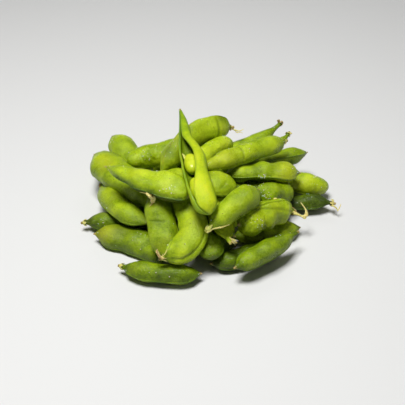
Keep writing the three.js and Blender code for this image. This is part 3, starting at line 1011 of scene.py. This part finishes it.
def add_strands(lines, looks, material):
    number = 0
    for node, ((place, degrees), *strands) in STRANDS.items():
        start = form(lines[node], looks[node], np.array([place]), np.array([math.radians(degrees)]))[0]
        for dry, *knots in strands:
            number += 1
            path = [start + in_view(right, up, near) for right, up, near, _ in knots]
            radii = [radius for *_, radius in knots]
            add_strand(f"{node}_strand_{number:02d}", node, path, radii, number, dry, material)
    node, degrees, places, radii = SEAM_STRING
    path = form(lines[node], looks[node], np.array(places), np.full(len(places), math.radians(degrees)))
    path = path + in_view(0, -0.1, 0.35)
    add_strand(f"{node}_string", node, path, radii, 40, 0.5, material, 1.0, STRING_STEPS)


# ---- The split pod ----
SPLIT_STEM = (3.0, -27.5, 35.5)
SPLIT_BELLY = (-4.5, 1.0, 46.5)
SPLIT_TIP = (-12.5, 52.0, 53.0)
BEAN_PLACES = (0.19, 0.415)
# Where each bean lies: its share of the length, its places to the left and in front in mm, and its turn.
BEAN_SEATS = (
    (BEAN_PLACES[0] + 0.012, 1.8, -0.2, 0.0),
    (BEAN_PLACES[1], 1.1, -0.7, -0.05),
)
BEAN_STEPS = (70, 56)
BEAN_HALF = (6.8, 4.2, 3.75)
BEAN_SHIFT = 70.0
SHELL_STEPS = (150, 74)
SHELL_SHIFT = 400.0
LINING_SHIFT = 440.0
WALL = 1.1
BACK_LIP = math.radians(72)
SHELL_START = 0.014
LIP_GAP = 0.3
# Share of the length: reach to the left and to the right, front lip's place left of the middle,
# rise in front and depth behind, in mm.
SHELL = (
    (0.00, 0.8, 0.8, 0.5, 0.5, 0.5),
    (0.03, 5.0, 3.8, 3.6, 3.4, 3.2),
    (0.06, 6.4, 5.2, 5.2, 4.8, 4.6),
    (0.10, 7.0, 5.9, 5.6, 5.4, 5.4),
    (0.18, 7.0, 6.2, 4.6, 5.8, 6.2),
    (0.25, 7.0, 6.2, 2.6, 5.2, 5.8),
    (0.32, 6.9, 5.9, 0.9, 4.3, 5.2),
    (0.40, 6.7, 6.9, -0.1, 4.4, 5.8),
    (0.48, 6.4, 6.8, -0.3, 4.6, 6.0),
    (0.55, 5.8, 5.2, 1.0, 4.0, 5.0),
    (0.65, 4.4, 2.9, 2.9, 2.8, 3.6),
    (0.75, 3.1, 2.5, 2.4, 2.2, 2.8),
    (0.86, 1.8, 2.3, 1.4, 1.5, 1.9),
    (0.94, 1.0, 1.4, 0.7, 0.9, 1.0),
    (1.00, 0.5, 0.6, 0.3, 0.4, 0.4),
)


class SplitLine:
    """The split pod's centreline: the drawn curve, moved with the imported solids."""

    def __init__(self):
        stem, belly, tip = (np.array(p) for p in (SPLIT_STEM, SPLIT_BELLY, SPLIT_TIP))
        bend = 2 * belly - 0.5 * stem - 0.5 * tip
        t = np.linspace(0, 1, 5 * FINE_STEPS + 1)[:, None]
        drawn = (1 - t) ** 2 * stem + 2 * t * (1 - t) * bend + t**2 * tip
        run = np.concatenate([[0], np.cumsum(np.linalg.norm(np.diff(drawn, axis=0), axis=1))])
        self.length = run[-1]
        even = np.stack([np.interp(FINE * run[-1], run, column) for column in drawn.T], axis=1)
        marks = read(even, np.array([0.0, *BEAN_PLACES, 1.0]))
        turn, shift = rigid_fit(marks, self.packed_marks())
        self.centre = even @ turn.T + shift
        self.along = unit(np.gradient(self.centre, FINE, axis=0))
        middle = FINE_STEPS // 2
        level = turn @ unit(np.cross((0, 0, 1), even[middle + 1] - even[middle - 1]))
        self.across = unit(level - (self.along @ level)[:, None] * self.along)
        self.through = np.cross(self.along, self.across)

    def packed_marks(self):
        """The stalk end, the beans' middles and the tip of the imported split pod."""
        corners, neighbours = corners_of("split_pod")
        poles = [corners[i] for i in poles_of(neighbours, 8)]
        beans = [corners_of(f"split_pod_bean_{k}")[0].mean(axis=0) for k in (1, 2)]
        poles.sort(key=lambda pole: np.linalg.norm(pole - beans[0]))
        return np.array([poles[0], *beans, poles[1]])

    def axes_at(self, u):
        """The directions along the pod, to the left and to the front, at one share of the length."""
        return [read(values, np.array([u]))[0] for values in (self.along, self.across, self.through)]

    def at(self, u, left, front):
        """Points at shares u of the length, so many mm to the left and to the front."""
        aside = read(self.across, u) * left[:, None]
        return read(self.centre, u) + aside + read(self.through, u) * front[:, None]


def rigid_fit(before, after):
    """The turn and the shift that best carry the points of before onto those of after."""
    middle_before, middle_after = before.mean(axis=0), after.mean(axis=0)
    left, _, right = np.linalg.svd((before - middle_before).T @ (after - middle_after))
    mirror = np.diag([1, 1, np.linalg.det(right.T @ left.T)])
    turn = right.T @ mirror @ left.T
    return turn, middle_after - turn @ middle_before


def shell_sections(stations, reach, columns):
    """The wall's middle in each section: its angle from the front, its places and half its thickness."""
    left, right, lip, front, back = reach
    half_wall = np.minimum(WALL / 2, 0.32 * np.minimum(left, front))[:, None]
    start = np.arcsin(np.clip(lip / np.where(lip > 0, left, right), -0.9, 0.9))
    gape = smooth_step(0.07, 0.2, stations) * smooth_step(0.84, 0.7, stations)
    end = start + (BACK_LIP - start) * gape + LIP_GAP / np.maximum(left, 1) - 2 * math.pi
    share = np.linspace(0, 1, columns)
    share = share - 0.05 * np.sin(2 * math.pi * share)
    phi = start[:, None] + (end - start)[:, None] * share
    side, face = np.sin(phi), np.cos(phi)
    x = side * (np.where(side > 0, left[:, None], right[:, None]) - half_wall)
    z = face * (np.where(face > 0, front[:, None], back[:, None]) - half_wall)
    return phi, x, z, half_wall


def outward_of(x, z):
    """The direction out of the wall in each section, and how far each place is from the nearer lip."""
    dx, dz = np.gradient(x, axis=1), np.gradient(z, axis=1)
    size = np.maximum(np.hypot(dx, dz), 1e-9)
    out_x, out_z = dz / size, -dx / size
    flip = np.sign((out_x * x + out_z * z).mean(axis=1, keepdims=True))
    run = np.cumsum(size, axis=1)
    from_lip = np.minimum(run - run[:, :1], run[:, -1:] - run) + 0.02
    return out_x * flip, out_z * flip, from_lip


def shell_painted_shading(u, phi):
    """Painted light and shade: lighter over the beans at the front, darker behind and at the sides; and
    darker towards the tip.
    """
    side, face = np.sin(phi), np.cos(phi)
    over_bean = sum(fading(u - place, 0.075) for place in BEAN_PLACES)
    tone = 0.54 + 0.2 * over_bean * smooth_step(-1.2, 0.6, face) * smooth_step(-0.9, 0.0, side)
    tone = tone - 0.3 * smooth_step(0.1, -0.6, face) - 0.22 * smooth_step(0.5, 0.75, u)
    return tone - 0.2 * smooth_step(0.6, 1.0, np.abs(side))


def both_sides(outer, inner):
    """Values on the outside and the inside of the wall, in the order of one ring for each section."""
    values = np.concatenate([outer, inner[:, ::-1]], axis=1)
    return values.reshape(-1, *values.shape[2:])


def add_shell(line, material):
    """Both valves of the split pod as one closed wall, joined along the right-hand seam."""
    rows, columns = SHELL_STEPS
    table = np.array(SHELL)
    t = np.linspace(0, 1, rows + 2)[1:-1]
    stations = t - 0.06 * np.sin(2 * math.pi * t)
    reach = curve_through(table[:, 0], table[:, 1:], stations).T
    left, right, _, front, _ = reach
    phi, x, z, half_wall = shell_sections(stations, reach, columns)
    out_x, out_z, from_lip = outward_of(x, z)

    # The wall's rounded lips, its raised seam and rims, and its small unevenness.
    u = np.repeat(stations, columns).reshape(rows, columns)
    pattern = np.stack([u * line.length, x, z], axis=-1)
    where = pattern.reshape(-1, 3)
    swell = (0.16 * layered(where / 6.0, 2, 51) + 0.04 * noise(where / 1.1, 52)).reshape(rows, columns)
    round_off = np.sqrt(1 - (1 - np.clip(from_lip / (1.3 * half_wall), 0, 1)) ** 2)
    seam = fading((phi + math.pi / 2) * (left + right)[:, None] / 2, 0.6)
    rim = fading(from_lip, 0.9)
    body = smooth_step(0.9, 3.0, np.minimum(left, front))[:, None]
    outward = round_off * half_wall + body * (swell + 0.22 * seam + 0.16 * rim * round_off)
    inward = -round_off * half_wall + body * swell * 0.6
    places = (SHELL_START + (1 - SHELL_START) * u).ravel()
    walls = []
    for rise in (outward, inward):
        wall = line.at(places, (x + out_x * rise).ravel(), (z + out_z * rise).ravel())
        walls.append(wall.reshape(rows, columns, 3))
    points = both_sides(*walls)
    poles = read(line.centre, np.array([SHELL_START, 1.0]))

    none = np.zeros((rows, columns))
    # Painted light and shade on the shell.
    tone = shell_painted_shading(u, phi)
    add_loft(
        "split_pod_shell", "split_pod", "split_pod", (rows, 2 * columns), points, poles, material,
        skin=both_sides(pattern + SHELL_SHIFT, pattern + LINING_SHIFT),
        inside=both_sides(none, smooth_step(0.2, 0.9, from_lip)),
        seam=both_sides(np.maximum(seam, 0.9 * rim), 0.4 * rim) * 0.9,
        tone=both_sides(tone, tone),
        dry=both_sides(0.8 * smooth_step(0.96, 0.995, u), none),
    )


def add_shred(line, material):
    """A pale torn strip of the lining, on the back valve beside the upper bean."""
    places = np.array([0.505, 0.485, 0.46, 0.44])
    path = line.at(places, np.array([4.7, 4.4, 4.1, 4.2]), np.array([0.5, 1.0, 0.9, 0.3]))
    add_strand("split_pod_shred", "split_pod", path, (0.15, 0.7, 0.6, 0.15), 50, 0.1, material, flat=0.3)


def add_bean(number, line, u, left, front, turn, material):
    """A plump bean, slightly bent, with its hilum on the seam side."""
    rows, columns = BEAN_STEPS
    polar = np.repeat(np.linspace(0, math.pi, rows + 2)[1:-1], columns)
    theta = np.tile(ring_angles(columns), rows)
    x = -np.cos(polar) * BEAN_HALF[0]
    girth = np.sin(polar) ** 0.86
    y = girth * np.cos(theta) * BEAN_HALF[1] + 0.55 * (x / BEAN_HALF[0]) ** 2 - 0.25
    z = girth * np.sin(theta) * BEAN_HALF[2]
    local = np.stack([x, y, z], axis=1)
    pattern = local + BEAN_SHIFT * number
    scar = np.hypot(x / 1.7, wrapped(theta - 0.25))
    hilum = np.exp(-((scar / 0.45) ** 4))
    rim = fading(scar - 0.55, 0.14)
    split = fading(np.abs(wrapped(theta)) * 4.0, 0.9) * (x > 0)
    lift = 0.1 * noise(pattern / 3.0, 60) + 0.03 * noise(pattern / 0.8, 61)
    lift += 0.1 * hilum - 0.08 * rim - 0.1 * split
    local = local + unit(local / np.array(BEAN_HALF) ** 2) * lift[:, None]

    along, across, through = line.axes_at(u)
    turned = math.cos(turn) * along + math.sin(turn) * across
    axes = np.array([turned, unit(np.cross(through, turned)), through])
    middle = line.at(np.array([u]), np.array([left]), np.array([front]))[0]
    poles = [middle + np.array([x_end, 0.3, 0]) @ axes for x_end in (-BEAN_HALF[0], BEAN_HALF[0])]
    name = f"split_pod_bean_{number}"
    add_loft(
        f"{name}_skin", name, "bean", BEAN_STEPS, middle + local @ axes, poles, material,
        skin=local + BEAN_SHIFT * number,
        # Painted light: the bean's front lighter and its back darker.
        tone=0.54 + 0.2 * np.sin(theta) * girth,
        hilum=np.clip(hilum, 0, 1),
    )


# ---- Salt ----
SALT_SEED = 11
SALT_GRAINS = 130
SALT_SIZE = (0.08, 0.22)
COVER_CELL = 1.5
COVER_DEPTH = 1.5
LEAST_RISE = 0.25
# Where salt gathers: the pod, the place on it (share of the length, degrees), how many grains and how wide.
SALT_CLUSTERS = (
    ("upper_pod_6", (0.475, 178), 16, 2.4),
    ("lower_pod_5", (0.15, 112), 14, 2.6),
    ("upper_pod_4", (0.75, 88), 10, 4.0),
    ("lower_pod_4", (0.803, -66), 9, 3.0),
    ("top_pod_1", (0.18, 56), 9, 3.2),
    ("lower_pod_6", (0.819, 72), 6, 3.0),
    ("base_pod_1", (0.475, 90), 8, 5.0),
    ("base_pod_2", (0.273, 126), 5, 2.0),
    ("top_pod_3", (0.099, 39), 5, 2.0),
    ("base_pod_7", (0.77, 84), 5, 3.0),
    ("top_pod_4", (0.75, 165), 6, 5.0),
)


def open_places(points, normals):
    """Which points nothing else covers, seen from above."""
    cells = np.floor(points[:, :2] / COVER_CELL).astype(int)
    cells -= cells.min(axis=0)
    index = cells[:, 0] * (cells[:, 1].max() + 1) + cells[:, 1]
    highest = np.full(index.max() + 1, -1e9)
    np.maximum.at(highest, index, points[:, 2])
    return np.flatnonzero((points[:, 2] > highest[index] - COVER_DEPTH) & (normals[:, 2] > LEAST_RISE))


def salt_places(surfaces, random):
    """Points and normals for all the grains."""
    points = np.concatenate([points for *_, points, _ in surfaces.values()])
    normals = np.concatenate([normals for *_, normals in surfaces.values()])
    chosen = random.choice(open_places(points, normals), SALT_GRAINS, replace=False)
    all_points, all_normals = [points[chosen]], [normals[chosen]]
    for node, place, count, spread in SALT_CLUSTERS:
        line, u, theta, points, normals = surfaces[node]
        near = np.flatnonzero(distance_to(line, u, theta, (place,)) < spread)
        chosen = random.choice(near, count, replace=False)
        all_points.append(points[chosen])
        all_normals.append(normals[chosen])
    return np.concatenate(all_points), np.concatenate(all_normals)


def add_salt(surfaces, material):
    """Small worn crystals on the pods."""
    random = np.random.default_rng(SALT_SEED)
    corners = np.array([(x, y, z) for x in (-1, 1) for y in (-1, 1) for z in (-1, 1)], float)
    sides = [(0, 1, 3, 2), (4, 6, 7, 5), (0, 4, 5, 1), (2, 3, 7, 6), (0, 2, 6, 4), (1, 5, 7, 3)]
    all_points, faces = [], []
    for number, (place, normal) in enumerate(zip(*salt_places(surfaces, random))):
        half = random.uniform(*SALT_SIZE) * random.uniform(0.7, 1.2, 3)
        turn, _ = np.linalg.qr(random.normal(size=(3, 3)))
        if np.linalg.det(turn) < 0:
            turn[:, 0] = -turn[:, 0]
        worn = corners * (1 + random.uniform(-0.22, 0.1, (8, 1)))
        all_points.append(place + normal * half.min() * 0.6 + (worn * half) @ turn.T)
        faces += [tuple(c + 8 * number for c in side) for side in sides]
    piece = add_piece("salt_grains", np.concatenate(all_points), faces, material, smooth=False)
    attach(piece, BODY)


# ---- The scene ----
def add_pods(skin, leaf):
    """Every whole pod with its calyx. Gives the outer pods' surfaces, and all their lines and looks."""
    surfaces, lines, looks = {}, {}, {}
    whole_pods = sorted(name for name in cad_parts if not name.startswith("split_pod"))
    for index, node in enumerate(whole_pods):
        outer = node.startswith(OUTER_PREFIXES)
        look = looks[node] = {**LOOK, **LOOKS.get(node, {})}
        # Painted shade on the pods deep in the gaps.
        if node in DEEP_PODS:
            look["tone"] = DEEP_PAINTED_SHADE
        surface = add_pod(node, look, OUTER_STEPS if outer else CORE_STEPS, index, skin)
        lines[node] = surface[0]
        if look["leaf"]:
            add_calyx(node, lines[node], look, index, leaf)
        if outer:
            surfaces[node] = surface
    return surfaces, lines, looks


add_camera()
add_studio()
skin, leaf, shell, bean = pod_skin(), dry_skin(), shell_skin(), bean_skin()
surfaces, lines, looks = add_pods(skin, leaf)
add_strands(lines, looks, leaf)
split = SplitLine()
add_shell(split, shell)
add_shred(split, leaf)
for number, seat in enumerate(BEAN_SEATS, 1):
    add_bean(number, split, *seat, bean)
add_salt(surfaces, salt_grain())
